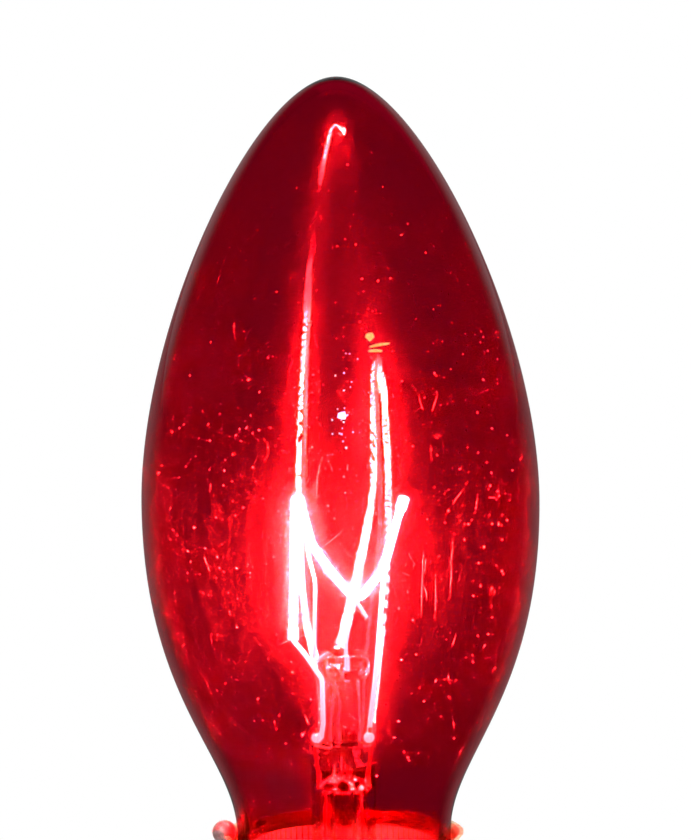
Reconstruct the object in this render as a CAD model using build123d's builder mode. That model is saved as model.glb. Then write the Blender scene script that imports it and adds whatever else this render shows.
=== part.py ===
from build123d import *
from math import cos, pi, sin
import os

# Decorative incandescent lamp: cone-shaped lacquered glass on a 17 mm screw cap.
# Millimetres. The origin is under the centre solder point, on the lamp's axis, and +Z runs to the glass tip.

# Glass blank, outside
belly_radius = 14.7
neck_radius = 7.95
crown_length = 31.5
flank_length = 24.9
tip_handle = 5.94
crown_handle = 13.05
flank_handle = 14.85
neck_handle = 6.0

# Glass blank, wall and sealed end
tip_wall = 1.0
belly_wall = 0.65
neck_wall = 0.85
neck_straight = 1.8
seal_taper_length = 2.6
seal_inset = 0.75

# Screw shell
shell_wall = 0.3
thread_crest_radius = 8.3
thread_root_radius = 7.6
thread_pitch = 2.822
thread_turns = 3.5
thread_run_in = 0.5
flange_corner = 1.0
flange_opening = 5.9
shoulder_height = 0.8
collar_length = 5.5
lip_flare = 0.35
lip_height = 0.7
cement_gap = 0.3

# Insulator and centre contact
insulator_depth = 3.25
insulator_foot_rim = 0.6
insulator_shoulder = 6.85
insulator_skirt = 0.6
insulator_bore = 1.2
insulator_inside = 0.6
insulator_dish = 0.35
contact_radius = 3.7
contact_thickness = 0.3
contact_proud = 0.15
eyelet_wall = 0.25
eyelet_height = 0.9
solder_radius = 2.1
solder_drop = 0.8
solder_wick = 0.6

# Side lead over the rim of the shell, and its solder
rim_hook_rise = 0.35
rim_hook_gap = 0.25
rim_hook_drop = 0.35
rim_solder_radius = 0.9
rim_solder_lift = 0.1
cement_slot_clearance = 0.03

# Cement ring
cement_height = 2.0
cement_below_rim = 0.25

# Glass mount: flare, press, exhaust tube, rod and button
stem_radius = 2.4
stem_wall = 0.65
flare_wall = 0.8
flare_curve = 3.4
stem_rise = 7.9
press_blend = 1.5
press_height = 1.8
press_thickness = 2.6
press_edge = 0.35
exhaust_radius = 1.1
exhaust_wall = 0.45
exhaust_length = 16.4
exhaust_tip_length = 1.7
vent_radius = 0.38
vent_tilt = 38
rod_radius = 1.22
rod_length = 4.95
rod_offset = 0.15
button_radius = 1.95
button_height = 1.95
button_edge = 0.6

# Wires
inner_wire = 0.18
seal_wire = 0.15
outer_wire = 0.13
support_wire = 0.13
filament_radius = 0.28
seal_wire_top = 1.2
seal_wire_spread = 2.04
seal_wire_tail = 0.5
weld_radius = 0.4
clamp_wall = 0.14
clamp_length = 0.9
clamp_grip = 0.7
ring_clearance = 0.06

# Outer leads inside the cap
side_lead_dip = 1.2
side_lead_turn = 1.6
side_lead_lift = 0.3
side_lead_rise = 0.6
foot_turn_rise = 1.0
center_lead_hang = 0.3
center_lead_dip = 2.2
outer_lead_bend = 1.5
side_lead_bend = 1.2
neck_bend = 0.6
rise_bend = 1.0
rim_hook_bend = 0.3

# Bent wires on the mount: each place is x, y and the rise above the press, with the bend radii between them
filament_route = [
    (-3.61, -0.20, 8.05),
    (-3.38, 1.60, 18.00),
    (-2.98, 0.65, 18.00),
    (-2.20, 0.60, 14.90),
    (-0.80, 1.00, 12.78),
    (1.15, 1.20, 10.45),
    (3.05, 0.40, 12.85),
    (4.60, -2.05, 18.50),
]
filament_bends = [0.38, 0.38, 2.0, 2.0, 0.6, 2.4]
left_lead_route = [(-1.62, 0, 0.45), (-1.45, -0.35, 1.60), (-1.50, -1.65, 5.20), (-2.72, -1.45, 7.00)]
left_lead_bends = [1.2, 0.6, 0.8]
right_lead_route = [
    (1.96, 0.36, 0.45),
    (2.05, 0.40, 1.60),
    (2.47, 0.00, 4.93),
    (3.15, -1.40, 12.85),
    (4.30, -2.75, 17.30),
]
right_lead_bends = [3.0, 5.0, 3.0, 1.0]
upper_support_route = [(-0.90, 0, 6.30), (-2.05, 0, 6.30), (-1.95, 0.85, 12.00), (-2.44, 1.55, 14.00)]
upper_support_bends = [0.2, 2.5, 1.5]
lower_support_route = [(0.30, 0, 5.60), (0.30, 0, 7.50), (0.50, 0.25, 8.65), (0.25, 0.70, 9.50)]
lower_support_bends = [1.2, 0.6, 0.4]
lower_support_tail = (1.88, 1.40, 9.20)

# Heights along the axis, from the cap up
contact_face = solder_drop
insulator_foot = contact_face + contact_proud
flange_under = insulator_foot + insulator_depth
thread_start = flange_under + flange_corner
thread_end = thread_start + thread_turns * thread_pitch
collar_start = thread_end + shoulder_height
collar_top = collar_start + collar_length
neck_top = collar_top
taper_top = neck_top - neck_straight
seal_height = taper_top - seal_taper_length
belly_height = neck_top + flank_length
tip_height = belly_height + crown_length
stem_shoulder = seal_height + stem_rise
press_top = stem_shoulder + press_blend + press_height

# Radii that follow from the fits
thread_radius = (thread_crest_radius + thread_root_radius) / 2
thread_offset = (thread_crest_radius - thread_root_radius) / 2
seal_radius = neck_radius - seal_inset
collar_inside = neck_radius + cement_gap
collar_radius = collar_inside + shell_wall
stem_bore = stem_radius - stem_wall
lead_radius_in_stem = (stem_bore + exhaust_radius) / 2


def glass_side(tip_inset, belly_inset, neck_inset):
    """One side of the glass wall from the tip to the sealed end; insets of zero give the outside."""
    tip = tip_height - tip_inset
    belly = belly_radius - belly_inset
    neck = neck_radius - neck_inset
    crown_start = (tip_handle - belly_inset, tip)
    Bezier((0, tip), crown_start, (belly, belly_height + crown_handle), (belly, belly_height))
    flank_end = (neck, neck_top + neck_handle)
    Bezier((belly, belly_height), (belly, belly_height - flank_handle), flank_end, (neck, neck_top))
    Polyline((neck, neck_top), (neck, taper_top), (seal_radius - neck_inset, seal_height))


def above_press(x, y, rise):
    """A place on the mount, measured up from the top of the press."""
    return Vector(x, y, press_top + rise)


def on_mount(route):
    """The places of a wire's route, as points."""
    return [above_press(*place) for place in route]


def tube_along(points, bends, radius):
    """Adds a round wire through the points, its runs joined by arcs, to the part being built."""
    with BuildLine() as route:
        FilletPolyline(*points, radius=bends)
    with BuildSketch(Plane(origin=points[0], z_dir=points[1] - points[0])) as section:
        Circle(radius)
    sweep(section.sketch, path=route.line)


def straight_wire(start, end, radius, mode=Mode.ADD):
    """Adds or cuts a round bar from start to end."""
    with BuildSketch(Plane(origin=start, z_dir=end - start)) as section:
        Circle(radius)
    extrude(section.sketch, amount=(end - start).length, mode=mode)


# Filament: two end legs, carried by two hooks
filament_points = on_mount(filament_route)
left_leg = (filament_points[1] - filament_points[0]).normalized()
right_leg = (filament_points[6] - filament_points[7]).normalized()

# Where the two hooks hold it: in the middle of the hairpin, and in the middle of the lower bend
upper_hook_run = filament_points[2] - filament_points[1]
upper_hook = (filament_points[1] + filament_points[2]) * 0.5
upper_hook_side = Vector(0, 0, 1).cross(upper_hook_run.normalized())
run_in = (filament_points[5] - filament_points[4]).normalized()
run_out = (filament_points[6] - filament_points[5]).normalized()
lower_hook_run = run_in + run_out
lower_hook_inward = (run_out - run_in).normalized()
half_turn_cosine = lower_hook_run.length / 2
lower_hook_rise = filament_bends[4] * (1 / half_turn_cosine - 1)
lower_hook = filament_points[5] + lower_hook_inward * lower_hook_rise

# Seal wires through the press, spread from the stem bore to the ends of the press
left_seal_foot = Vector(-lead_radius_in_stem, 0, stem_shoulder)
left_seal_head = above_press(-seal_wire_spread, 0, seal_wire_top)
left_seal_run = (left_seal_head - left_seal_foot).normalized()
right_seal_foot = Vector(lead_radius_in_stem, 0, stem_shoulder)
right_seal_head = above_press(seal_wire_spread, 0, seal_wire_top)
right_seal_run = (right_seal_head - right_seal_foot).normalized()

# Inner leads, from the weld beside the seal wire to the folded clamp on the filament
left_clamp = filament_points[0] - left_leg * (clamp_length - clamp_grip)
right_clamp = filament_points[7] - right_leg * (clamp_length - clamp_grip)
left_lead_points = on_mount(left_lead_route) + [left_clamp]
right_lead_points = on_mount(right_lead_route) + [right_clamp]

# Hook wires, from their holes in the button
ring_radius = filament_radius + ring_clearance + support_wire
upper_support_points = on_mount(upper_support_route) + [upper_hook + upper_hook_side * ring_radius]
lower_support_points = on_mount(lower_support_route) + [lower_hook - lower_hook_inward * ring_radius]
lower_tail_end = above_press(*lower_support_tail)

# Outer leads: one hooked over the rim of the shell, one down to the centre contact
side_lead_radius = (neck_radius + collar_inside) / 2
rim_radius = collar_radius + lip_flare
hook_radius = rim_radius + rim_hook_gap
side_lead_low = seal_height - flare_wall - side_lead_dip
left_lead_start = left_seal_foot - left_seal_run * seal_wire_tail
side_lead_points = [
    left_seal_foot,
    left_lead_start,
    Vector(left_lead_start.X, 0, seal_height - flare_wall + foot_turn_rise),
    Vector(-seal_radius + side_lead_turn, 0, side_lead_low),
    Vector(-seal_radius, 0, side_lead_low + side_lead_lift),
    Vector(-side_lead_radius, 0, seal_height + side_lead_rise),
    Vector(-side_lead_radius, 0, collar_top + rim_hook_rise),
    Vector(-hook_radius, 0, collar_top + rim_hook_rise),
    Vector(-hook_radius, 0, collar_top - rim_hook_drop),
]
side_lead_bends = [
    outer_lead_bend,
    side_lead_bend,
    side_lead_bend,
    neck_bend,
    rise_bend,
    rim_hook_bend,
    rim_hook_bend,
]
exhaust_tip = stem_shoulder - exhaust_length
right_lead_start = right_seal_foot - right_seal_run * seal_wire_tail
center_lead_points = [
    right_seal_foot,
    right_lead_start,
    Vector(right_lead_start.X, 0, exhaust_tip - center_lead_hang),
    Vector(0, 0, exhaust_tip - center_lead_dip),
    Vector(0, 0, contact_face - solder_drop / 3),
]
center_lead_bends = [outer_lead_bend] * 3

os.makedirs("parts", exist_ok=True)

# Blown glass envelope, open at the neck where the mount is sealed in
with BuildPart() as glass_envelope:
    with BuildSketch(Plane.XZ):
        with BuildLine():
            glass_side(0, 0, 0)
            Line((seal_radius, seal_height), (seal_radius - neck_wall, seal_height))
            glass_side(tip_wall, belly_wall, neck_wall)
            Line((0, tip_height - tip_wall), (0, tip_height))
        make_face()
    revolve(axis=Axis.Z)
glass_envelope.part.label = "glass_envelope"
export_step(glass_envelope.part, "parts/glass_envelope.step")

# Stem: a tube flared out to the neck at its foot and pinched flat on the wires at its top
with BuildPart() as stem:
    flare_foot = seal_height - flare_wall
    with BuildSketch(Plane.XZ):
        with BuildLine():
            Line((stem_radius, stem_shoulder), (stem_radius, seal_height + flare_curve))
            upper_turn = (stem_radius, seal_height)
            upper_end = (stem_radius + flare_curve, seal_height)
            Bezier((stem_radius, seal_height + flare_curve), upper_turn, upper_end)
            Line(upper_end, (seal_radius, seal_height))
            Line((seal_radius, seal_height), (seal_radius, flare_foot))
            lower_end = (stem_bore + flare_curve, flare_foot)
            Line((seal_radius, flare_foot), lower_end)
            lower_turn = (stem_bore, flare_foot)
            Bezier(lower_end, lower_turn, (stem_bore, flare_foot + flare_curve))
            Line((stem_bore, flare_foot + flare_curve), (stem_bore, stem_shoulder))
            Line((stem_bore, stem_shoulder), (stem_radius, stem_shoulder))
        make_face()
    revolve(axis=Axis.Z)
    with BuildSketch(Plane.XY.offset(stem_shoulder)):
        Circle(stem_radius)
    with BuildSketch(Plane.XY.offset(stem_shoulder + press_blend)):
        SlotOverall(2 * stem_radius, press_thickness)
    loft()
    with BuildSketch(Plane.XY.offset(stem_shoulder + press_blend)):
        SlotOverall(2 * stem_radius, press_thickness)
    extrude(amount=press_height)
    fillet(stem.faces().sort_by(Axis.Z)[-1].edges(), press_edge)
    straight_wire(left_seal_foot, left_seal_head, seal_wire, Mode.SUBTRACT)
    straight_wire(right_seal_foot, right_seal_head, seal_wire, Mode.SUBTRACT)
    vent_start = Vector(0, 0, stem_shoulder)
    vent_aim = Vector(0, sin(vent_tilt * pi / 180), cos(vent_tilt * pi / 180))
    straight_wire(vent_start, vent_start + vent_aim * 2 * stem_radius, vent_radius, Mode.SUBTRACT)
stem.part.label = "stem"
export_step(stem.part, "parts/stem.step")

# Exhaust tube, melted shut inside the cap
with BuildPart() as exhaust_tube:
    exhaust_bore = exhaust_radius - exhaust_wall
    with BuildSketch(Plane.XZ):
        with BuildLine():
            tip_start = exhaust_tip + exhaust_tip_length
            Line((exhaust_bore, stem_shoulder), (exhaust_radius, stem_shoulder))
            Line((exhaust_radius, stem_shoulder), (exhaust_radius, tip_start))
            Bezier((exhaust_radius, tip_start), (exhaust_radius, exhaust_tip), (0, exhaust_tip))
            Line((0, exhaust_tip), (0, exhaust_tip + exhaust_wall))
            bore_end = (0, exhaust_tip + exhaust_wall)
            Bezier(bore_end, (exhaust_bore, exhaust_tip + exhaust_wall), (exhaust_bore, tip_start))
            Line((exhaust_bore, tip_start), (exhaust_bore, stem_shoulder))
        make_face()
    revolve(axis=Axis.Z)
exhaust_tube.part.label = "exhaust_tube"
export_step(exhaust_tube.part, "parts/exhaust_tube.step")

# Glass rod with its pressed button, drilled by the two hook wires
with BuildPart() as arbor:
    with Locations((rod_offset, 0, press_top)):
        Cylinder(rod_radius, rod_length, align=(Align.CENTER, Align.CENTER, Align.MIN))
    with Locations((rod_offset, 0, press_top + rod_length)):
        Cylinder(button_radius, button_height, align=(Align.CENTER, Align.CENTER, Align.MIN))
    fillet(arbor.edges().filter_by(GeomType.CIRCLE).sort_by(SortBy.RADIUS)[-2:], button_edge)
    straight_wire(upper_support_points[0], upper_support_points[1], support_wire, Mode.SUBTRACT)
    straight_wire(lower_support_points[0], lower_support_points[1], support_wire, Mode.SUBTRACT)
arbor.part.label = "arbor"
export_step(arbor.part, "parts/arbor.step")

# Wires that seal in the press
with BuildPart() as seal_wire_left:
    straight_wire(left_seal_foot, left_seal_head, seal_wire)
seal_wire_left.part.label = "seal_wire_left"
export_step(seal_wire_left.part, "parts/seal_wire_left.step")

with BuildPart() as seal_wire_right:
    straight_wire(right_seal_foot, right_seal_head, seal_wire)
seal_wire_right.part.label = "seal_wire_right"
export_step(seal_wire_right.part, "parts/seal_wire_right.step")


def inner_lead(points, bends, seal_foot, seal_head, leg):
    """Adds a lead with its weld bead round the seal wire and its end folded round the filament."""
    tube_along(points, bends, inner_wire)
    seal_run = (seal_head - seal_foot).normalized()
    weld_centre = seal_head - seal_run * (seal_head.Z - points[0].Z)
    with Locations(weld_centre):
        Sphere(weld_radius)
    straight_wire(points[-1], points[-1] + leg * clamp_length, filament_radius + clamp_wall)
    straight_wire(seal_foot, seal_head, seal_wire, Mode.SUBTRACT)
    filament_end = points[-1] + leg * (clamp_length - clamp_grip)
    straight_wire(filament_end, filament_end + leg * clamp_length, filament_radius, Mode.SUBTRACT)


with BuildPart() as inner_lead_left:
    inner_lead(left_lead_points, left_lead_bends, left_seal_foot, left_seal_head, left_leg)
inner_lead_left.part.label = "inner_lead_left"
export_step(inner_lead_left.part, "parts/inner_lead_left.step")

with BuildPart() as inner_lead_right:
    inner_lead(right_lead_points, right_lead_bends, right_seal_foot, right_seal_head, right_leg)
inner_lead_right.part.label = "inner_lead_right"
export_step(inner_lead_right.part, "parts/inner_lead_right.step")

# Coiled filament, as the tube that its turns fill
with BuildPart() as filament:
    tube_along(filament_points, filament_bends, filament_radius)
filament.part.label = "filament"
export_step(filament.part, "parts/filament.step")

# Hook wires that carry the filament
with BuildPart() as support_upper:
    tube_along(upper_support_points, upper_support_bends, support_wire)
    with Locations(Plane(origin=upper_hook, z_dir=upper_hook_run)):
        Torus(ring_radius, support_wire)
support_upper.part.label = "support_upper"
export_step(support_upper.part, "parts/support_upper.step")

with BuildPart() as support_lower:
    tube_along(lower_support_points, lower_support_bends, support_wire)
    with Locations(Plane(origin=lower_hook, z_dir=lower_hook_run)):
        Torus(ring_radius, support_wire)
    straight_wire(lower_support_points[-1], lower_tail_end, support_wire)
support_lower.part.label = "support_lower"
export_step(support_lower.part, "parts/support_lower.step")

# Copper outer leads
with BuildPart() as outer_lead_side:
    tube_along(side_lead_points, side_lead_bends, outer_wire)
outer_lead_side.part.label = "outer_lead_side"
export_step(outer_lead_side.part, "parts/outer_lead_side.step")

with BuildPart() as outer_lead_center:
    tube_along(center_lead_points, center_lead_bends, outer_wire)
outer_lead_center.part.label = "outer_lead_center"
export_step(outer_lead_center.part, "parts/outer_lead_center.step")

# Screw shell of thin brass. Each level section of a rolled round thread is the same circle,
# moved off the axis and turned with the pitch, so an upright ring carried along that line makes it.
thread_steps = round(12 * thread_turns)
thread_line = []
for step in range(thread_steps + 1):
    turn = thread_turns * step / thread_steps
    run = min(turn, thread_turns - turn, thread_run_in) / thread_run_in
    shift = thread_offset * run * run * (3 - 2 * run)
    place = (shift * cos(2 * pi * turn), shift * sin(2 * pi * turn), thread_start + thread_pitch * turn)
    thread_line.append(place)

with BuildPart() as screw_shell:
    with BuildLine() as thread_path:
        Spline(*thread_line)
    with BuildSketch(Plane.XY.offset(thread_start)):
        Circle(thread_radius)
        Circle(thread_radius - shell_wall, mode=Mode.SUBTRACT)
    sweep(path=thread_path.line, normal=(0, 0, 1))
    with BuildSketch(Plane.XZ):
        with BuildLine():
            corner = thread_radius - flange_corner
            inner_corner = flange_corner - shell_wall
            Line((thread_radius - shell_wall, thread_start), (thread_radius, thread_start))
            RadiusArc((thread_radius, thread_start), (corner, flange_under), flange_corner)
            Line((corner, flange_under), (flange_opening, flange_under))
            Line((flange_opening, flange_under), (flange_opening, flange_under + shell_wall))
            Line((flange_opening, flange_under + shell_wall), (corner, flange_under + shell_wall))
            inside_end = (thread_radius - shell_wall, thread_start)
            RadiusArc((corner, flange_under + shell_wall), inside_end, -inner_corner)
        make_face()
    revolve(axis=Axis.Z)
    with BuildSketch(Plane.XZ) as collar_profile:
        with BuildLine():
            lip_start = collar_top - lip_height
            Line((thread_radius - shell_wall, thread_end), (thread_radius, thread_end))
            Line((thread_radius, thread_end), (collar_radius, collar_start))
            Line((collar_radius, collar_start), (collar_radius, lip_start))
            lip_turn = (collar_radius, lip_start + lip_height / 2)
            lip_end = (collar_radius + lip_flare, collar_top)
            Bezier((collar_radius, lip_start), lip_turn, lip_end)
            Line(lip_end, (lip_end[0] - shell_wall, collar_top))
            inner_turn = (collar_inside, lip_start + lip_height / 2)
            Bezier((lip_end[0] - shell_wall, collar_top), inner_turn, (collar_inside, lip_start))
            Line((collar_inside, lip_start), (collar_inside, collar_start))
            Line((collar_inside, collar_start), (thread_radius - shell_wall, thread_end))
        make_face()
    revolve(axis=Axis.Z)
screw_shell.part.label = "screw_shell"
export_step(screw_shell.part, "parts/screw_shell.step")

# Black glass insulator, moulded round the flange of the shell
with BuildPart() as insulator:
    flange_upper = flange_under + shell_wall
    insulator_top = flange_upper + insulator_inside
    with BuildSketch(Plane.XZ):
        with BuildLine():
            Polyline(
                (insulator_bore, contact_face + contact_thickness),
                (contact_radius, contact_face + contact_thickness),
                (contact_radius, insulator_foot),
                (contact_radius + insulator_foot_rim, insulator_foot),
                (insulator_shoulder, flange_under - insulator_skirt),
                (insulator_shoulder, flange_under),
                (flange_opening, flange_under),
                (flange_opening, flange_upper),
                (insulator_shoulder, flange_upper),
                (insulator_shoulder - insulator_inside / 2, insulator_top),
                (insulator_bore + insulator_inside, insulator_top - insulator_dish),
                (insulator_bore, insulator_top - insulator_dish),
                close=True,
            )
        make_face()
    revolve(axis=Axis.Z)
insulator.part.label = "insulator"
export_step(insulator.part, "parts/insulator.step")

# Brass contact plate with its eyelet up the bore of the insulator
with BuildPart() as center_contact:
    plate_top = contact_face + contact_thickness
    eyelet_bore = insulator_bore - eyelet_wall
    with BuildSketch(Plane.XZ):
        with BuildLine():
            Polyline(
                (eyelet_bore, contact_face),
                (contact_radius, contact_face),
                (contact_radius, plate_top),
                (insulator_bore, plate_top),
                (insulator_bore, plate_top + eyelet_height),
                (eyelet_bore, plate_top + eyelet_height),
                close=True,
            )
        make_face()
    revolve(axis=Axis.Z)
center_contact.part.label = "center_contact"
export_step(center_contact.part, "parts/center_contact.step")

# Solder drop that closes the eyelet round the centre lead
with BuildPart() as solder_center:
    with BuildSketch(Plane.XZ):
        with BuildLine():
            Bezier((0, 0), (solder_radius * 0.75, 0), (solder_radius, contact_face))
            Polyline(
                (solder_radius, contact_face),
                (eyelet_bore, contact_face),
                (eyelet_bore, plate_top + solder_wick),
                (0, plate_top + solder_wick),
                (0, 0),
            )
        make_face()
    revolve(axis=Axis.Z)
    wick_top = Vector(0, 0, plate_top + solder_wick)
    straight_wire(center_lead_points[-1], wick_top, outer_wire, Mode.SUBTRACT)
solder_center.part.label = "solder_center"
export_step(solder_center.part, "parts/solder_center.step")

# Solder over the hooked end of the side lead, on both sides of the rim
with BuildPart() as solder_side:
    with Locations((-rim_radius, 0, collar_top + rim_solder_lift)):
        Sphere(rim_solder_radius, rotation=(0, 0, 90))
    revolve(collar_profile.sketch, axis=Axis.Z, mode=Mode.SUBTRACT)
    add(outer_lead_side.part, mode=Mode.SUBTRACT)
solder_side.part.label = "solder_side"
export_step(solder_side.part, "parts/solder_side.step")

# Cement between the neck of the glass and the collar, open where the side lead comes up
with BuildPart() as base_cement:
    cement_top = collar_top - lip_height - cement_below_rim
    cement_foot = cement_top - cement_height
    taper_share = (taper_top - cement_foot) / seal_taper_length
    foot_radius = neck_radius - seal_inset * taper_share
    with BuildSketch(Plane.XZ):
        with BuildLine():
            Polyline(
                (foot_radius, cement_foot),
                (collar_inside, cement_foot),
                (collar_inside, cement_top),
                (neck_radius, cement_top),
                (neck_radius, taper_top),
                close=True,
            )
        make_face()
    revolve(axis=Axis.Z)
    slot_width = 2 * (outer_wire + cement_slot_clearance)
    with Locations((-side_lead_radius, 0, cement_foot)):
        Box(2 * neck_straight, slot_width, 3 * cement_height, mode=Mode.SUBTRACT)
base_cement.part.label = "base_cement"
export_step(base_cement.part, "parts/base_cement.step")
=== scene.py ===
import math
import random

import bpy
from mathutils import Matrix, Vector, noise


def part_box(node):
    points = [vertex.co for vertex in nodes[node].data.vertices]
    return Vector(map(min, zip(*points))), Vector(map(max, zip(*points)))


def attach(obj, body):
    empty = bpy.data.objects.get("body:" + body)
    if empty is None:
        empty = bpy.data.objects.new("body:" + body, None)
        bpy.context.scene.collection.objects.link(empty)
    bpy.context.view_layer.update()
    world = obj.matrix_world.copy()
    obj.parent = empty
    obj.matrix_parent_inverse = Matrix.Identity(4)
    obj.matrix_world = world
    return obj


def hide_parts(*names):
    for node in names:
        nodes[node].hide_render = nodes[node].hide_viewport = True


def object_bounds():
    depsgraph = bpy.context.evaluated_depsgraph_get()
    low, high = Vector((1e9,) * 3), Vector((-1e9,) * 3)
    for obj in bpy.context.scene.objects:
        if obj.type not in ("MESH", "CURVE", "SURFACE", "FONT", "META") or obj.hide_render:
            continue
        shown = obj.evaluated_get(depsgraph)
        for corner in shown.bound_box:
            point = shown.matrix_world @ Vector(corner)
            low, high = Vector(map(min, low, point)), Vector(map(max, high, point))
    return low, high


# Decorative incandescent lamp, lit. Metres.
# +Z runs up the axis from the cap to the glass tip, -Y faces the viewer.

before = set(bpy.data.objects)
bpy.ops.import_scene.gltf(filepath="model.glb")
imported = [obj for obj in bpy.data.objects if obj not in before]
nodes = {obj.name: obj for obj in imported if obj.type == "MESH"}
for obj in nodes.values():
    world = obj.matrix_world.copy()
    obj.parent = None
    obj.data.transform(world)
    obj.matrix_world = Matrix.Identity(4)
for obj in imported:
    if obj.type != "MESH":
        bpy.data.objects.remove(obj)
cad_low, cad_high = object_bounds()
glass_low, glass_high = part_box("glass_envelope")

# Glass blank, from the frame and its own proportions
tip_height = glass_high.z
seal_height = glass_low.z
belly_radius = glass_high.x
neck_radius = 0.00795
crown_length = 0.0315
flank_length = 0.0249
tip_handle = 0.00594
crown_handle = 0.01305
flank_handle = 0.01485
neck_handle = 0.006
tip_wall = 0.001
belly_wall = 0.00065
neck_wall = 0.00085
neck_straight = 0.0018
seal_inset = 0.00075
belly_height = tip_height - crown_length
neck_top = belly_height - flank_length
press_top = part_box("stem")[1].z
crown_rows = 72
flank_rows = 56
glass_sides = 192

# Blown glass is never quite even: its two faces wander a little
inner_wander = 0.000010
outer_wander = 0.000004
wander_size = 0.0045
wander_stretch = 2.4
wander_start = Vector((7.3, 1.9, 0.4))

# Filament: the coil winds round the same route as its solid
coil_radius = 0.00024
coil_wire = 0.00004
coil_pitch = 0.00017
coil_steps = 14
wire_sides = 6
bend_step = 0.1
filament_route = [
    (-0.00361, -0.00020, 0.00805),
    (-0.00338, 0.00160, 0.01800),
    (-0.00298, 0.00065, 0.01800),
    (-0.00220, 0.00060, 0.01490),
    (-0.00080, 0.00100, 0.01278),
    (0.00115, 0.00120, 0.01045),
    (0.00305, 0.00040, 0.01285),
    (0.00460, -0.00205, 0.01850),
]
filament_bends = [0.00038, 0.00038, 0.002, 0.002, 0.0006, 0.0024]


def bezier(start, handle_a, handle_b, end, count):
    """Points on a cubic curve, its start included and its end left out."""
    points = []
    for step in range(count):
        t = step / count
        u = 1 - t
        weights = (u ** 3, 3 * u * u * t, 3 * u * t * t, t ** 3)
        corners = (start, handle_a, handle_b, end)
        points.append(tuple(sum(w * c[i] for w, c in zip(weights, corners)) for i in (0, 1)))
    return points


def glass_side(tip_inset, belly_inset, neck_inset):
    """(radius, height) pairs down one face of the glass, from the tip to the sealed end."""
    tip = tip_height - tip_inset
    belly = belly_radius - belly_inset
    neck = neck_radius - neck_inset
    side = bezier((0, tip), (tip_handle - belly_inset, tip), (belly, belly_height + crown_handle),
                  (belly, belly_height), crown_rows)
    side += bezier((belly, belly_height), (belly, belly_height - flank_handle),
                   (neck, neck_top + neck_handle), (neck, neck_top), flank_rows)
    side += [(neck, neck_top), (neck, neck_top - neck_straight), (neck - seal_inset, seal_height)]
    return side


outside_line = glass_side(0, 0, 0)
inside_line = glass_side(tip_wall, belly_wall, neck_wall)


def link(name, mesh, smooth=True):
    """Puts a mesh in the scene as a piece of the lamp."""
    mesh.update()
    mesh.validate()
    for face in mesh.polygons:
        face.use_smooth = smooth
    piece = bpy.data.objects.new(name, mesh)
    bpy.context.scene.collection.objects.link(piece)
    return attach(piece, "root")


def lathe_envelope(name, sides):
    """The glass blank as one closed wall. Faces of the outside get slot 0 and those of the inside slot 1."""
    outline = outside_line + inside_line[::-1]
    seal_row = len(outside_line) - 1
    verts, faces, slots = [], [], []
    for row, (radius, height) in enumerate(outline):
        inner = row > seal_row
        if radius == 0:
            verts.append((0, 0, height))
            continue
        for side in range(sides):
            turn = 2 * math.pi * side / sides
            at = Vector((radius * math.cos(turn), radius * math.sin(turn), height / wander_stretch))
            wander = noise.noise(at / wander_size + wander_start * (2 if inner else 1))
            # Both faces only ever wander into the glass, so it keeps its size
            reach = radius + (1 + wander) / 2 * (inner_wander if inner else -outer_wander)
            verts.append((reach * math.cos(turn), reach * math.sin(turn), height))
    rows = len(outline)
    for row in range(rows - 1):
        inner = row > seal_row
        for side in range(sides):
            after = (side + 1) % sides
            if row == 0:
                faces.append((0, 1 + side, 1 + after))
            elif row == rows - 2:
                base = 1 + (row - 1) * sides
                faces.append((base + side, len(verts) - 1, base + after))
            else:
                base = 1 + (row - 1) * sides
                faces.append((base + side, base + sides + side, base + sides + after, base + after))
            slots.append(1 if inner else 0)
    mesh = bpy.data.meshes.new(name)
    mesh.from_pydata(verts, [], faces)
    for face, slot in zip(mesh.polygons, slots):
        face.material_index = slot
    return link(name, mesh)


def rounded_route(points, bends, spacing):
    """Evenly spaced points along straight runs joined by arcs."""
    corners = [Vector(p) for p in points]
    line = [corners[0]]
    for before, corner, after, radius in zip(corners, corners[1:], corners[2:], bends):
        run_in = (corner - before).normalized()
        run_out = (after - corner).normalized()
        turn = run_in.angle(run_out)
        reach = radius * math.tan(turn / 2)
        centre = corner + (run_out - run_in).normalized() * radius / math.cos(turn / 2)
        start = corner - run_in * reach - centre
        axis = run_in.cross(run_out).normalized()
        steps = max(2, math.ceil(turn / bend_step))
        for step in range(steps + 1):
            line.append(centre + Matrix.Rotation(turn * step / steps, 3, axis) @ start)
    line.append(corners[-1])
    route, carried = [line[0]], 0.0
    for a, b in zip(line, line[1:]):
        length = (b - a).length
        at = spacing - carried
        while at <= length:
            route.append(a.lerp(b, at / length))
            at += spacing
        carried = length - (at - spacing)
    return route


def tube_mesh(name, line, radius, sides):
    """A closed round tube along a line of points."""
    verts, faces = [], []
    across = (line[1] - line[0]).orthogonal().normalized()
    for index, point in enumerate(line):
        along = (line[min(index + 1, len(line) - 1)] - line[max(index - 1, 0)]).normalized()
        across = (across - along * across.dot(along)).normalized()
        other = along.cross(across)
        for side in range(sides):
            turn = 2 * math.pi * side / sides
            verts.append(point + (across * math.cos(turn) + other * math.sin(turn)) * radius)
    for ring in range(len(line) - 1):
        for side in range(sides):
            after = (side + 1) % sides
            base = ring * sides
            faces.append((base + side, base + after, base + sides + after, base + sides + side))
    faces.append(tuple(reversed(range(sides))))
    faces.append(tuple(range((len(line) - 1) * sides, len(line) * sides)))
    mesh = bpy.data.meshes.new(name)
    mesh.from_pydata(verts, [], faces)
    return mesh


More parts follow.
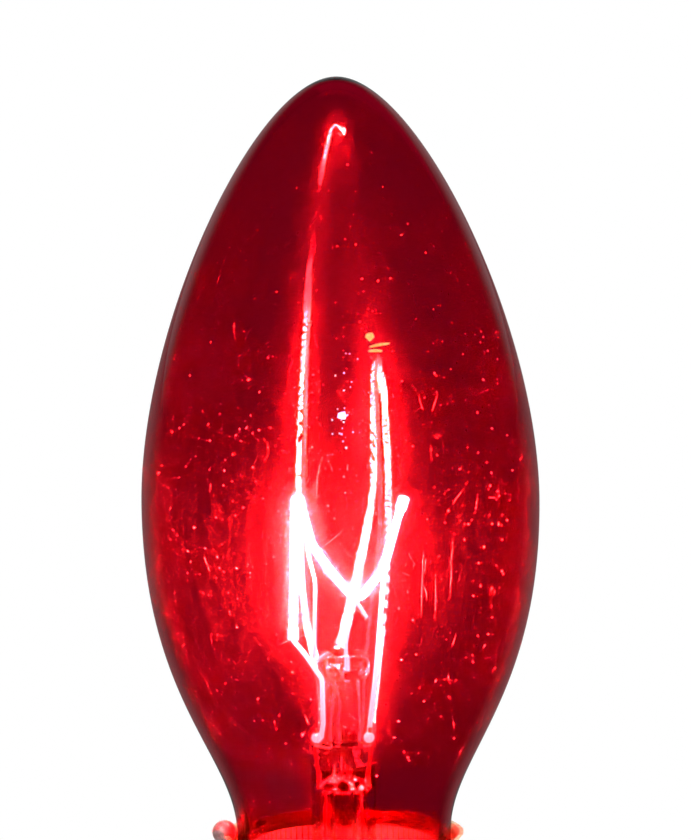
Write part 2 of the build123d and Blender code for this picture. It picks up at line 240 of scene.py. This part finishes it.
def wound_coil(name, points, bends):
    """The tungsten wire, wound round its route."""
    route = rounded_route([(x, y, press_top + rise) for x, y, rise in points], bends, coil_pitch / coil_steps)
    line = []
    across = (route[1] - route[0]).orthogonal().normalized()
    for index, point in enumerate(route):
        along = (route[min(index + 1, len(route) - 1)] - route[max(index - 1, 0)]).normalized()
        across = (across - along * across.dot(along)).normalized()
        other = along.cross(across)
        turn = 2 * math.pi * index / coil_steps
        line.append(point + (across * math.cos(turn) + other * math.sin(turn)) * coil_radius)
    return link(name, tube_mesh(name, line, coil_wire, wire_sides))


def glass_radius(height, side):
    """How far one face of the glass stands from the axis at that height."""
    for (upper, top), (lower, foot) in zip(side, side[1:]):
        if foot <= height <= top:
            return upper + (lower - upper) * (top - height) / (top - foot)
    return 0.0


def on_glass(turn, height, gap):
    """A point that far in from the inside of the glass or, for a gap under 0, out from its outside."""
    reach = glass_radius(height, inside_line if gap > 0 else outside_line) - gap
    return Vector((reach * math.cos(turn), reach * math.sin(turn), height))


def front_turn(x, height):
    """The angle about the axis where the front of the glass has that x."""
    return math.asin(x / glass_radius(height, outside_line)) - math.pi / 2


# Flat marks on the glass: how wide a strip's ends are beside its middle, and the steps along a scratch
strip_end = 0.25
scratch_steps = 10


def add_strip(verts, faces, places, width, gap):
    """A flat strip that follows (turn, height) places on the glass and thins out at both ends."""
    line = [on_glass(turn, height, gap) for turn, height in places]
    last = len(line) - 1
    first = len(verts)
    for index, point in enumerate(line):
        along = (line[min(index + 1, last)] - line[max(index - 1, 0)]).normalized()
        outward = Vector((point.x, point.y, 0)).normalized()
        fullness = math.sin(math.pi * (index + 0.5) / (last + 1))
        half = width / 2 * (strip_end + (1 - strip_end) * fullness)
        across = along.cross(outward).normalized() * half
        verts += [point - across, point + across]
    for index in range(last):
        base = first + 2 * index
        faces.append((base, base + 1, base + 3, base + 2))


def add_scratch(verts, faces, turn, height, length, slant, curl, width, gap):
    """A hairline on the glass, slant being its angle from upright."""
    places = []
    for step in range(scratch_steps + 1):
        share = step / scratch_steps - 0.5
        aside = (math.sin(slant) * share + curl * share * share) * length
        rise = math.cos(slant) * share * length
        places.append((turn + aside / glass_radius(height, outside_line), height + rise))
    add_strip(verts, faces, places, width, gap)


def add_fleck(verts, faces, turn, height, size, gap, chance):
    """A small flat flake with a ragged edge."""
    first = len(verts)
    corners = chance.randint(5, 8)
    reach = glass_radius(height, outside_line)
    for corner in range(corners):
        angle = 2 * math.pi * corner / corners
        far = size / 2 * chance.uniform(0.5, 1.0)
        verts.append(on_glass(turn + far * math.cos(angle) / reach, height + far * math.sin(angle), gap))
    faces.append(tuple(range(first, first + corners)))


class Nodes:
    """A short way to write a node tree."""

    def __init__(self, tree):
        self.tree = tree
        tree.nodes.clear()

    def add(self, kind, links=None, **values):
        node = self.tree.nodes.new(kind)
        for key, value in values.items():
            if hasattr(node, key):
                setattr(node, key, value)
            else:
                node.inputs[key].default_value = value
        for key, source in (links or {}).items():
            self.tree.links.new(source, node.inputs[key])
        return node

    def set(self, node, **values):
        for key, value in values.items():
            node.inputs[key.replace("_", " ")].default_value = value
        return node

    def math(self, operation, a, b=0.0, clamp=False):
        node = self.tree.nodes.new("ShaderNodeMath")
        node.operation = operation
        node.use_clamp = clamp
        for socket, value in zip(node.inputs, (a, b)):
            if isinstance(value, (int, float)):
                socket.default_value = value
            else:
                self.tree.links.new(value, socket)
        return node.outputs[0]

    def noise(self, size, stretch=(1, 1, 1), detail=4.0, roughness=0.55):
        """Noise with features of about that size, in metres, drawn out where stretch is under 1."""
        place = self.add("ShaderNodeTexCoord").outputs["Object"]
        mapping = self.add("ShaderNodeMapping", {"Vector": place})
        mapping.inputs["Scale"].default_value = stretch
        node = self.add("ShaderNodeTexNoise", {"Vector": mapping.outputs[0]})
        self.set(node, Scale=1 / size, Detail=detail, Roughness=roughness)
        return node.outputs[0]

    def remap(self, value, low, high, to_low, to_high):
        """Carries low to high over to to_low to to_high, smoothly and no further."""
        node = self.add("ShaderNodeMapRange", {"Value": value}, interpolation_type="SMOOTHSTEP")
        self.set(node, From_Min=low, From_Max=high, To_Min=to_low, To_Max=to_high)
        return node.outputs[0]

    def height(self):
        """How high up the lamp the surface is."""
        place = self.add("ShaderNodeTexCoord").outputs["Object"]
        return self.add("ShaderNodeSeparateXYZ", {0: place}).outputs["Z"]

    def blend(self, factor, a, b):
        """A colour between a and b."""
        node = self.tree.nodes.new("ShaderNodeMix")
        node.data_type = "RGBA"
        self.tree.links.new(factor, node.inputs[0])
        for socket, colour in zip(node.inputs[6:8], (a, b)):
            socket.default_value = (*colour, 1)
        return node.outputs[2]

    def bump(self, height, strength, distance):
        node = self.add("ShaderNodeBump", {"Height": height})
        self.set(node, Strength=strength, Distance=distance)
        return node.outputs[0]

    def mix(self, factor, a, b):
        node = self.tree.nodes.new("ShaderNodeMixShader")
        if isinstance(factor, (int, float)):
            node.inputs[0].default_value = factor
        else:
            self.tree.links.new(factor, node.inputs[0])
        self.tree.links.new(a, node.inputs[1])
        self.tree.links.new(b, node.inputs[2])
        return node.outputs[0]


def material(name):
    made = bpy.data.materials.new(name)
    made.use_nodes = True
    return made, Nodes(made.node_tree)


def principled(tree, colour, links=None, **values):
    node = tree.add("ShaderNodeBsdfPrincipled", links)
    return tree.set(node, Base_Color=(*colour, 1), **values)


def output(tree, surface):
    tree.tree.links.new(surface, tree.tree.nodes.new("ShaderNodeOutputMaterial").inputs["Surface"])


def lets_lamps_through(tree, surface, tint):
    """Glass that lamps shine through, tinted, instead of casting a black shadow."""
    path = tree.add("ShaderNodeLightPath")
    clear = tree.add("ShaderNodeBsdfTransparent")
    clear.inputs["Color"].default_value = (*tint, 1)
    return tree.mix(path.outputs["Is Shadow Ray"], surface, clear.outputs[0])


# Red lacquer on the outside of the glass: what one coat lets through where it is thin and where it is thick,
# what it lets lamps cast through it, and how much it mirrors from the front and at its rim
thin_lacquer = (0.38, 0.004, 0.08)
thick_lacquer = (0.34, 0.003, 0.07)
glass_ior = 1.45
lacquer_shade = (0.015, 0.0004, 0.003)
facing_mirror = 0.01
rim_mirror = 0.28
rim_edge = (0.55, 0.8)
bare_glass = (0.96, 0.96, 0.96)
worked_glass_ior = 1.5

# The filament's light, and the light painted on leads and hooks as a glow for the filament's light and glare
# on them, low on the mount and up at the filament
filament_glow = 28000.0
filament_colour = (1.0, 0.65, 0.036)
painted_light_rise = 0.018
painted_light_colour = (1.0, 0.9, 0.055)
lead_painted_light = (150.0, 900.0)
hook_painted_light = (110.0, 380.0)

# Haze inside the glass: the shares of light that spread a little, more, widely and all round
bloom_share, bloom_spread = 0.065, 0.2
near_share, near_spread = 0.0011, 0.66
glow_share, glow_spread = 0.0003, 0.85
veil_share = 0.0002

# Its clouds, upright brush marks and fine grain. Each row has a size, stretch, detail and roughness, then the
# range of the noise that counts and the strengths that range becomes
haze_layers = (
    (0.0035, (1, 1, 0.6), 6.0, 0.7, (0.36, 0.64), (0.75, 1.25)),
    (0.0007, (1, 1, 0.05), 4.0, 0.65, (0.36, 0.64), (0.25, 1.75)),
    (0.00025, (1, 1, 0.5), 2.0, 0.55, (0.38, 0.62), (0.4, 1.6)),
)
# Its strength at the neck and at the belly, and the share of that left in the crown
neck_haze, belly_haze, crown_haze = 0.35, 1.35, 0.7
# It fades between these two heights above the belly
haze_fade = (0.004, 0.012)


def coat_colour(tree, power):
    """The lacquer's colour, a little uneven from top to bottom as brushed lacquer is."""
    thin = tuple(value ** power for value in thin_lacquer)
    thick = tuple(value ** power for value in thick_lacquer)
    return tree.blend(tree.noise(0.006, (1, 1, 0.25), detail=3.0), thin, thick)


def haze(tree):
    """How strong the haze is from place to place: cloudy, with upright brush marks and fine grain."""
    height = tree.height()
    fade_start, fade_end = (belly_height + rise for rise in haze_fade)
    below = tree.remap(height, neck_top, belly_height, neck_haze, belly_haze)
    above = tree.remap(height, fade_start, fade_end, 1.0, crown_haze)
    strength = tree.math("MULTIPLY", below, above)
    for size, stretch, detail, roughness, noise_range, strength_range in haze_layers:
        layer = tree.remap(tree.noise(size, stretch, detail, roughness), *noise_range, *strength_range)
        strength = tree.math("MULTIPLY", strength, layer)
    return strength


def red_outside():
    """The lacquered face. It mirrors the room at its rim alone, as the light inside drowns the rest."""
    made, tree = material("red_glass_outside")
    one_coat = {"Color": coat_colour(tree, 1.0)}
    lets = tree.add("ShaderNodeBsdfRefraction", one_coat, IOR=glass_ior, Roughness=0.0)
    coat = {"Base Color": coat_colour(tree, 2.0)}
    glass = principled(tree, thin_lacquer, coat, Transmission_Weight=1.0, Roughness=0.0, IOR=glass_ior)
    facing = tree.add("ShaderNodeLayerWeight", Blend=0.5).outputs["Facing"]
    mirror = tree.remap(facing, *rim_edge, facing_mirror, rim_mirror)
    both = tree.mix(mirror, lets.outputs[0], glass.outputs[0])
    output(tree, lets_lamps_through(tree, both, lacquer_shade))
    return made


def hazy_inside():
    """The bare inner face with its film of haze."""
    made, tree = material("hazy_inside")
    lobes = []
    for spread in (0.0, bloom_spread, near_spread, glow_spread):
        lobe = principled(tree, (1, 1, 1), Transmission_Weight=1.0, Roughness=spread, IOR=glass_ior)
        lobes.append(lobe.outputs[0])
    veil = tree.add("ShaderNodeBsdfTranslucent")
    veil.inputs["Color"].default_value = (0.9, 0.9, 0.9, 1)
    uneven = haze(tree)
    glass = tree.mix(bloom_share, lobes[0], lobes[1])
    for share, lobe in ((near_share, lobes[2]), (glow_share, lobes[3]), (veil_share, veil.outputs[0])):
        glass = tree.mix(tree.math("MULTIPLY", uneven, share, clamp=True), glass, lobe)
    output(tree, lets_lamps_through(tree, glass, bare_glass))
    return made


def lacquer_marks(strength):
    """Dust and scratches, faint but for the lamp's own light."""
    made, tree = material("lacquer_marks")
    clear = tree.add("ShaderNodeBsdfTransparent")
    dust = tree.add("ShaderNodeBsdfTranslucent")
    dust.inputs["Color"].default_value = (0.9, 0.85, 0.8, 1)
    share = tree.remap(tree.noise(0.0012, detail=3.0), 0.35, 0.65, strength * faintest_mark, strength)
    output(tree, tree.mix(share, clear.outputs[0], dust.outputs[0]))
    return made


def clear_glass(name, ripple, depth):
    """Glass worked in a flame, so its surface ripples."""
    made, tree = material(name)
    waves = tree.noise(ripple, detail=2.0)
    glass = principled(
        tree, (0.97, 0.985, 0.98), {"Normal": tree.bump(waves, 1.0, depth)},
        Transmission_Weight=1.0, Roughness=0.0, IOR=worked_glass_ior,
    )
    output(tree, lets_lamps_through(tree, glass.outputs[0], (0.9, 0.9, 0.9)))
    return made


def glowing_tungsten():
    made, tree = material("glowing_tungsten")
    wire = principled(tree, (0.3, 0.29, 0.28), Metallic=1.0, Roughness=0.4,
                      Emission_Color=(*filament_colour, 1), Emission_Strength=filament_glow)
    output(tree, wire.outputs[0])
    return made


# How much rougher metal is where it is dull
duller = 0.18


def worn_metal(name, bright, dull, roughness, patch, grain, stretch=(1, 1, 1), depth=0.00001, painted_light=None):
    """Metal with dull patches of one size and fine drawn or rolled grain of another.

    The wire's glow, where given, is painted light for the filament's light and glare on it, low on the mount
    and up at the filament.
    """
    made, tree = material(name)
    patches = tree.remap(tree.noise(patch, detail=6.0, roughness=0.65), 0.44, 0.62, 0.0, 1.0)
    fine = tree.noise(grain, stretch, detail=3.0)
    streaky = tree.remap(fine, 0.3, 0.7, roughness * 0.8, roughness * 1.2)
    links = {
        "Base Color": tree.blend(patches, bright, dull),
        "Roughness": tree.math("ADD", streaky, tree.math("MULTIPLY", patches, duller)),
        "Normal": tree.bump(fine, 0.5, depth),
    }
    # Painted light: emission on the wire for the filament's light and glare on it, stronger towards the
    # filament
    if painted_light:
        links["Emission Strength"] = tree.remap(tree.height(), press_top, press_top + painted_light_rise, *painted_light)
    output(tree, principled(tree, bright, links, Metallic=1.0, Emission_Color=(*painted_light_colour, 1)).outputs[0])
    return made


# Painted stray light on paint chips, and painted light where it leaves through pinholes
chip_glow = 0.45
pinhole_glow = 1.6


def paint_chip():
    """Ochre paint left on the lacquer, dull and crazed, with a painted glow for the stray light on it."""
    made, tree = material("paint_chip")
    crazing = tree.noise(0.0002, detail=4.0, roughness=0.7)
    cracked = tree.remap(crazing, 0.35, 0.65, 0.0, 1.0)
    links = {
        "Base Color": tree.blend(cracked, (0.95, 0.62, 0.22), (0.75, 0.36, 0.08)),
        "Roughness": tree.remap(crazing, 0.3, 0.7, 0.4, 0.7),
    }
    # The chip's emission is painted stray light
    paint = principled(tree, (0.9, 0.55, 0.18), links, Emission_Color=(1.0, 0.55, 0.16, 1),
                       Emission_Strength=chip_glow)
    output(tree, paint.outputs[0])
    return made


def pinhole_light():
    """Painted light for the white light that leaves through pinholes in the lacquer, bluish beside all that
    red.
    """
    made, tree = material("pinhole_light")
    fringe = tree.remap(tree.noise(0.0005, detail=2.0), 0.4, 0.6, 0.0, 1.0)
    links = {"Emission Color": tree.blend(fringe, (0.8, 0.75, 1.0), (0.5, 0.3, 1.0))}
    # The flakes' emission is painted light, a glint where the pinholes are
    light = principled(tree, (0.8, 0.8, 0.9), links, Roughness=0.5, Emission_Strength=pinhole_glow)
    output(tree, light.outputs[0])
    return made


def black_glass():
    """Moulded black glass, glossy with faint swirls."""
    made, tree = material("black_glass")
    swirl = tree.noise(0.0025, detail=4.0)
    cloudy = tree.remap(swirl, 0.4, 0.7, 0.0, 1.0)
    links = {
        "Base Color": tree.blend(cloudy, (0.012, 0.012, 0.016), (0.05, 0.042, 0.05)),
        "Roughness": tree.remap(tree.noise(0.0008, detail=3.0), 0.35, 0.65, 0.06, 0.22),
        "Normal": tree.bump(swirl, 0.4, 0.00008),
    }
    output(tree, principled(tree, (0.02, 0.02, 0.025), links).outputs[0])
    return made


def dry_cement():
    """Buff cement with grains and small pits."""
    made, tree = material("cement")
    grains = tree.noise(0.0003, detail=6.0, roughness=0.7)
    stain = tree.remap(tree.noise(0.003, detail=4.0), 0.35, 0.65, 0.0, 1.0)
    links = {
        "Base Color": tree.blend(stain, (0.72, 0.64, 0.5), (0.5, 0.42, 0.3)),
        "Roughness": tree.remap(grains, 0.3, 0.7, 0.75, 0.95),
        "Normal": tree.bump(grains, 0.8, 0.00006),
    }
    output(tree, principled(tree, (0.72, 0.64, 0.5), links).outputs[0])
    return made


def dress(made, *names):
    """Gives CAD nodes their material."""
    for name in names:
        nodes[name].data.materials.clear()
        nodes[name].data.materials.append(made)


def film_piece(name, verts, faces, made):
    """Flat marks in or on the lacquer, as one piece."""
    mesh = bpy.data.meshes.new(name)
    mesh.from_pydata(verts, [], faces)
    piece = link(name, mesh, smooth=False)
    mesh.materials.append(made)


envelope = lathe_envelope("envelope", glass_sides)
envelope.data.materials.append(red_outside())
envelope.data.materials.append(hazy_inside())
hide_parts("glass_envelope")

coil = wound_coil("filament_coil", filament_route, filament_bends)
coil.data.materials.append(glowing_tungsten())
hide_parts("filament")

# Dust, scratches and brush hairs in the lacquer, all round the lamp
mark_gap = 0.00003
mark_strength = 0.6
faintest_mark = 0.2
clear_tip = 0.004
fleck_count = 2400
fleck_middle = belly_height - 0.002
fleck_sizes = (0.00005, 0.00026)
scratch_count = 150
scratch_middle = belly_height - 0.004
scratch_lengths = (0.0003, 0.0013)
scratch_slant = 0.45
scratch_curl = 0.4
scratch_width = 0.00007
chance = random.Random(11)
# The ones that show most: x, height, length, slant in radians and curl
seen_scratches = [
    (0.0082, 0.0437, 0.0052, 0.03, 0.10),
    (0.0101, 0.0477, 0.0016, 0.25, 0.0),
    (0.0060, 0.0424, 0.0050, 0.0, 0.05),
    (0.0070, 0.0414, 0.0036, -0.05, 0.0),
    (0.0108, 0.0555, 0.0011, 1.45, 0.3),
    (-0.0036, 0.0385, 0.0028, 1.2, 0.1),
    (-0.0006, 0.0459, 0.0024, 0.9, -0.2),
    (0.0004, 0.0450, 0.0019, -0.7, 0.2),
    (0.0038, 0.0527, 0.0046, 0.02, 0.0),
    (-0.0016, 0.0507, 0.0038, 0.22, 0.3),
]
mark_verts, mark_faces = [], []


def mark_height(middle):
    """A height on the glass, most often near the middle one, never at its ends."""
    return chance.triangular(neck_top, tip_height - clear_tip, middle)


for fleck in range(fleck_count):
    turn = chance.uniform(-math.pi, math.pi)
    height = mark_height(fleck_middle)
    add_fleck(mark_verts, mark_faces, turn, height, chance.uniform(*fleck_sizes), mark_gap, chance)
for scratch in range(scratch_count):
    turn = chance.uniform(-math.pi, math.pi)
    height = mark_height(scratch_middle)
    slant = chance.gauss(0.0, scratch_slant)
    length = chance.uniform(*scratch_lengths)
    curl = chance.uniform(-scratch_curl, scratch_curl)
    add_scratch(mark_verts, mark_faces, turn, height, length, slant, curl, scratch_width, mark_gap)
for x, height, length, slant, curl in seen_scratches:
    turn = front_turn(x, height)
    add_scratch(mark_verts, mark_faces, turn, height, length, slant, curl, scratch_width, mark_gap)
film_piece("lacquer_marks", mark_verts, mark_faces, lacquer_marks(mark_strength))

# Paint chips on the outside, and pinholes with the light that leaves through them
skin = -0.00002
chip_place, chip_size = (0.0022, 0.0602), 0.0009
chip_strips = ((0.0029, 0.0596, 0.0015, 1.45), (0.0026, 0.0592, 0.0010, 1.60))
chip_curl = 0.1
chip_width = 0.00026
pinhole_place, pinhole_size = (0.0002, 0.0548), 0.0009
pinhole_count = 26
pinhole_rise, pinhole_spread, pinhole_drift = 0.0006, 0.0020, 0.0005
pinhole_sizes = (0.00007, 0.00018)
chip_verts, chip_faces, pin_verts, pin_faces = [], [], [], []
add_fleck(chip_verts, chip_faces, front_turn(*chip_place), chip_place[1], chip_size, skin, chance)
for x, height, length, slant in chip_strips:
    turn = front_turn(x, height)
    add_scratch(chip_verts, chip_faces, turn, height, length, slant, chip_curl, chip_width, skin)
add_fleck(pin_verts, pin_faces, front_turn(*pinhole_place), pinhole_place[1], pinhole_size, skin, chance)
for pin in range(pinhole_count):
    height = pinhole_place[1] + chance.gauss(pinhole_rise, pinhole_spread)
    turn = front_turn(pinhole_place[0] + chance.gauss(0.0, pinhole_drift), height)
    add_fleck(pin_verts, pin_faces, turn, height, chance.uniform(*pinhole_sizes), skin, chance)
film_piece("paint_chips", chip_verts, chip_faces, paint_chip())
film_piece("pinholes", pin_verts, pin_faces, pinhole_light())

# The solids that stay. Drawn wire has its grain along it, and rolled sheet round it
drawn = (1, 1, 0.1)
rolled = (0.1, 0.1, 1)
dress(clear_glass("tube_glass", 0.0022, 0.00012), "stem", "exhaust_tube")
dress(clear_glass("rod_glass", 0.0020, 0.00001), "arbor")
# The leads carry painted light, a glow for the filament's light and glare on them
nickel = worn_metal("nickel_lead", (0.72, 0.70, 0.66), (0.5, 0.46, 0.42), 0.55, 0.0012, 0.00012, drawn,
                    painted_light=lead_painted_light)
dress(nickel, "inner_lead_left", "inner_lead_right")
seal = worn_metal("seal_wire", (0.62, 0.24, 0.14), (0.36, 0.1, 0.07), 0.4, 0.001, 0.0001)
dress(seal, "seal_wire_left", "seal_wire_right")
# The hooks carry the same painted light, a glow for the filament's light and glare
hook = worn_metal("hook_wire", (0.62, 0.62, 0.63), (0.42, 0.41, 0.42), 0.5, 0.0009, 0.0001, drawn,
                  painted_light=hook_painted_light)
dress(hook, "support_upper", "support_lower")
copper = worn_metal("copper_lead", (0.78, 0.4, 0.24), (0.42, 0.2, 0.12), 0.32, 0.0014, 0.00012, drawn)
dress(copper, "outer_lead_side", "outer_lead_center")
brass = worn_metal("shell_brass", (0.80, 0.62, 0.32), (0.5, 0.35, 0.17), 0.26, 0.004, 0.00018, rolled)
dress(brass, "screw_shell")
contact = worn_metal("contact_brass", (0.76, 0.6, 0.34), (0.45, 0.32, 0.17), 0.34, 0.0016, 0.00015)
dress(contact, "center_contact")
tin = worn_metal("solder", (0.66, 0.66, 0.68), (0.4, 0.39, 0.38), 0.38, 0.0009, 0.00025, depth=0.00003)
dress(tin, "solder_center", "solder_side")
dress(black_glass(), "insulator")
dress(dry_cement(), "base_cement")

# Floor: pale, with the lamp's shadow and light near it, white to the eye further away, and clear from below
white_seen = 1.0
floor_reach = 6.0
floor_ring = (0.025, 0.07)


def reaches_eye(tree):
    """1 for what the eye sees straight or through glass, and 0 for the rest."""
    path = tree.add("ShaderNodeLightPath")
    return tree.math("ADD", path.outputs["Is Camera Ray"], path.outputs["Is Transmission Ray"], clamp=True)


floor_mesh = bpy.data.meshes.new("floor")
floor_corners = [(x * floor_reach, y * floor_reach, 0) for x, y in ((-1, -1), (1, -1), (1, 1), (-1, 1))]
floor_mesh.from_pydata(floor_corners, [], [(0, 1, 2, 3)])
floor = bpy.data.objects.new("floor", floor_mesh)
floor.location.z = cad_low.z
bpy.context.scene.collection.objects.link(floor)
floor_made, floor_tree = material("floor")
pale = floor_tree.add("ShaderNodeBsdfDiffuse")
pale.inputs["Color"].default_value = (0.8, 0.8, 0.8, 1)
white = floor_tree.add("ShaderNodeEmission")
white.inputs["Strength"].default_value = white_seen
place = floor_tree.add("ShaderNodeNewGeometry")
away = floor_tree.add("ShaderNodeVectorMath", {0: place.outputs["Position"]}, operation="LENGTH")
ring = floor_tree.remap(away.outputs["Value"], *floor_ring, 0.0, 1.0)
open_floor = floor_tree.math("MULTIPLY", ring, reaches_eye(floor_tree))
from_below = floor_tree.add("ShaderNodeBsdfTransparent")
seen_floor = floor_tree.mix(open_floor, pale.outputs[0], white.outputs[0])
output(floor_tree, floor_tree.mix(place.outputs["Backfacing"], seen_floor, from_below.outputs[0]))
floor_mesh.materials.append(floor_made)

# World: white to the eye and through glass. What mirrors it sees a pale backdrop in a dim room
room_light = 0.36
mirrored_room = 0.24
mirrored_backdrop = 0.8
backdrop_edge = (0.70, 0.86)
world = bpy.data.worlds.new("room")
world.use_nodes = True
bpy.context.scene.world = world
room = Nodes(world.node_tree)


def white_light(strength):
    return room.add("ShaderNodeBackground", Color=(1, 1, 1, 1), Strength=strength).outputs[0]


way = room.add("ShaderNodeTexCoord")
split = room.add("ShaderNodeSeparateXYZ", {0: way.outputs["Generated"]})
behind = room.remap(split.outputs["Y"], *backdrop_edge, 0.0, 1.0)
mirrored = room.mix(behind, white_light(mirrored_room), white_light(mirrored_backdrop))
glossy = room.add("ShaderNodeLightPath").outputs["Is Glossy Ray"]
lit = room.mix(glossy, white_light(room_light), mirrored)
seen_world = room.mix(reaches_eye(room), lit, white_light(white_seen))
world.node_tree.links.new(seen_world, room.add("ShaderNodeOutputWorld").inputs["Surface"])

# Soft lamps of the studio: name, place, width and watts
lamp_centre = Vector((0, 0, 0.04))
studio_lamps = (
    ("key_light", (-1.1, -1.2, 1.4), 2.0, 8.0),
    ("fill_light", (1.4, -0.7, 0.9), 1.8, 4.0),
    ("back_light", (0.4, 1.6, 1.3), 1.8, 4.0),
)
for name, place, size, power in studio_lamps:
    light = bpy.data.lights.new(name, "AREA")
    light.shape = "SQUARE"
    light.size = size
    light.energy = power
    lamp = bpy.data.objects.new(name, light)
    lamp.location = place
    lamp.rotation_euler = (lamp_centre - Vector(place)).to_track_quat("-Z", "Y").to_euler()
    bpy.context.scene.collection.objects.link(lamp)

# Camera: a little above the lamp, turned by a hair as the photograph is
view_distance = 0.45
view_elevation = math.radians(8.5)
view_roll = math.radians(-0.6)
aim = Vector((0.000435, 0, 0.0524))
pixels_per_metre = 13570
picture_height = 840
sensor_size = 0.036
nearest_seen = 0.01
camera_data = bpy.data.cameras.new("camera")
camera_data.sensor_width = sensor_size * 1000
camera_data.lens = pixels_per_metre * sensor_size * view_distance / picture_height * 1000
camera_data.clip_start = nearest_seen
camera = bpy.data.objects.new("camera", camera_data)
back = Vector((0, -math.cos(view_elevation), math.sin(view_elevation)))
camera.location = aim + back * view_distance
turned = (-back).to_track_quat("-Z", "Y").to_matrix() @ Matrix.Rotation(view_roll, 3, "Z")
camera.rotation_euler = turned.to_euler()
bpy.context.scene.collection.objects.link(camera)
bpy.context.scene.camera = camera

bpy.context.scene.view_settings.view_transform = "Standard"
bpy.context.scene.cycles.sample_clamp_indirect = 0.0
bpy.context.scene.cycles.caustics_refractive = False
bpy.context.scene.cycles.caustics_reflective = False
